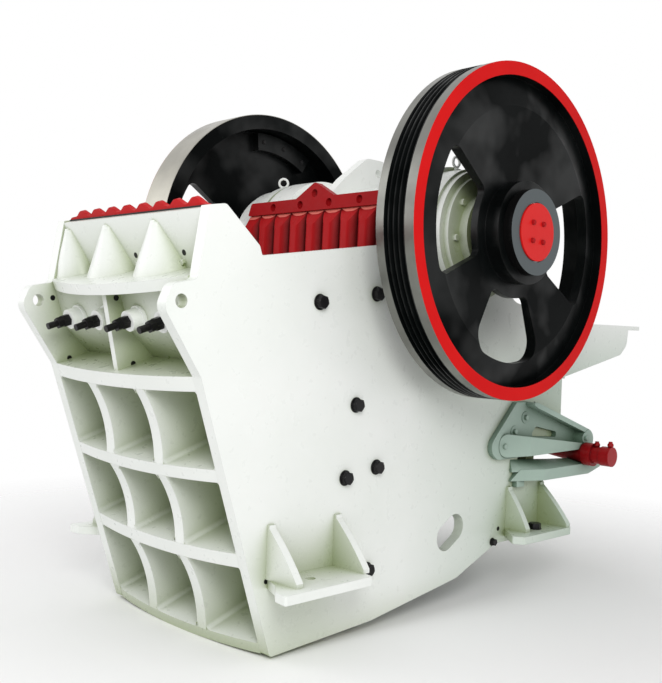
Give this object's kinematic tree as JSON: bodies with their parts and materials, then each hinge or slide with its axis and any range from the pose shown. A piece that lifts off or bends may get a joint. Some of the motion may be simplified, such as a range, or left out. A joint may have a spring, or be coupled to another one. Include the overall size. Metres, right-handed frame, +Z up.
{
  "type": "jaw crusher",
  "caption": "Single-toggle jaw crusher with a ribbed leaning front frame, toothed jaws, an eccentric shaft and two windowed flywheels.",
  "frame": {"origin": "bolt hole centre of the front right foot, on its underside", "axes": "+X to the right as seen from the front frame end, along the shaft; +Y from the front frame to the rear; +Z up"},
  "size_m": [2.2, 3.7328, 2.7046],
  "materials": {
    "frame_paint": "gloss white enamel",
    "jaw_paint": "satin dark red",
    "cap_paint": "gloss red",
    "wheel_paint": "satin black",
    "bare_steel": "turned",
    "blackened_steel": "oiled black",
    "wear_steel": "cast"
  },
  "bodies": {
    "frame": {"adjuster_cylinder_left": "cap_paint", "adjuster_cylinder_right": "cap_paint", "adjusting_wedges": "wear_steel", "bearing_cover_left": "frame_paint", "bearing_cover_right": "frame_paint", "bearing_housing_left": "frame_paint", "bearing_housing_right": "frame_paint", "fixed_jaw_die": "jaw_paint", "front_foot_left": "frame_paint", "front_foot_right": "frame_paint", "front_frame": "frame_paint", "jaw_bolt_cups": "frame_paint", "jaw_bolts": "blackened_steel", "lifting_eyes": "frame_paint", "lower_arm_left": "frame_paint", "lower_arm_right": "frame_paint", "lower_cheek_plate_left": "wear_steel", "lower_cheek_plate_right": "wear_steel", "motor_mount": "frame_paint", "rear_foot_left": "frame_paint", "rear_foot_right": "frame_paint", "rear_frame": "frame_paint", "side_plate_left": "frame_paint", "side_plate_right": "frame_paint", "toggle_beam": "wear_steel", "toggle_plate": "wear_steel", "upper_arm_left": "frame_paint", "upper_arm_right": "frame_paint", "upper_cheek_plate_left": "wear_steel", "upper_cheek_plate_right": "wear_steel"},
    "shaft": {"eccentric_shaft": "bare_steel", "belt_flywheel": "wheel_paint", "plain_flywheel": "wheel_paint", "counterweight_left": "wheel_paint", "counterweight_right": "wheel_paint", "locking_ring_left": "bare_steel", "locking_ring_right": "bare_steel", "shaft_end_cap_left": "cap_paint", "shaft_end_cap_right": "cap_paint"},
    "swing_jaw": {"pitman": "frame_paint", "moving_jaw_die": "jaw_paint", "jaw_clamp_bar": "jaw_paint", "pitman_toggle_seat": "wear_steel"}
  },
  "joints": [
    {"name": "flywheel_spin", "type": "hinge", "parent": "frame", "child": "shaft", "pos_m": [-0.7, 1.02, 1.592], "axis": [1, 0, 0], "continuous": true},
    {"name": "swing_jaw_follow", "type": "hinge", "parent": "shaft", "child": "swing_jaw", "pos_m": [-0.7, 1.01843, 1.57708], "axis": [1, 0, 0], "continuous": true}
  ],
  "couplings": [
    {"joint": "swing_jaw_follow", "follows": "flywheel_spin", "ratio": -1}
  ]
}
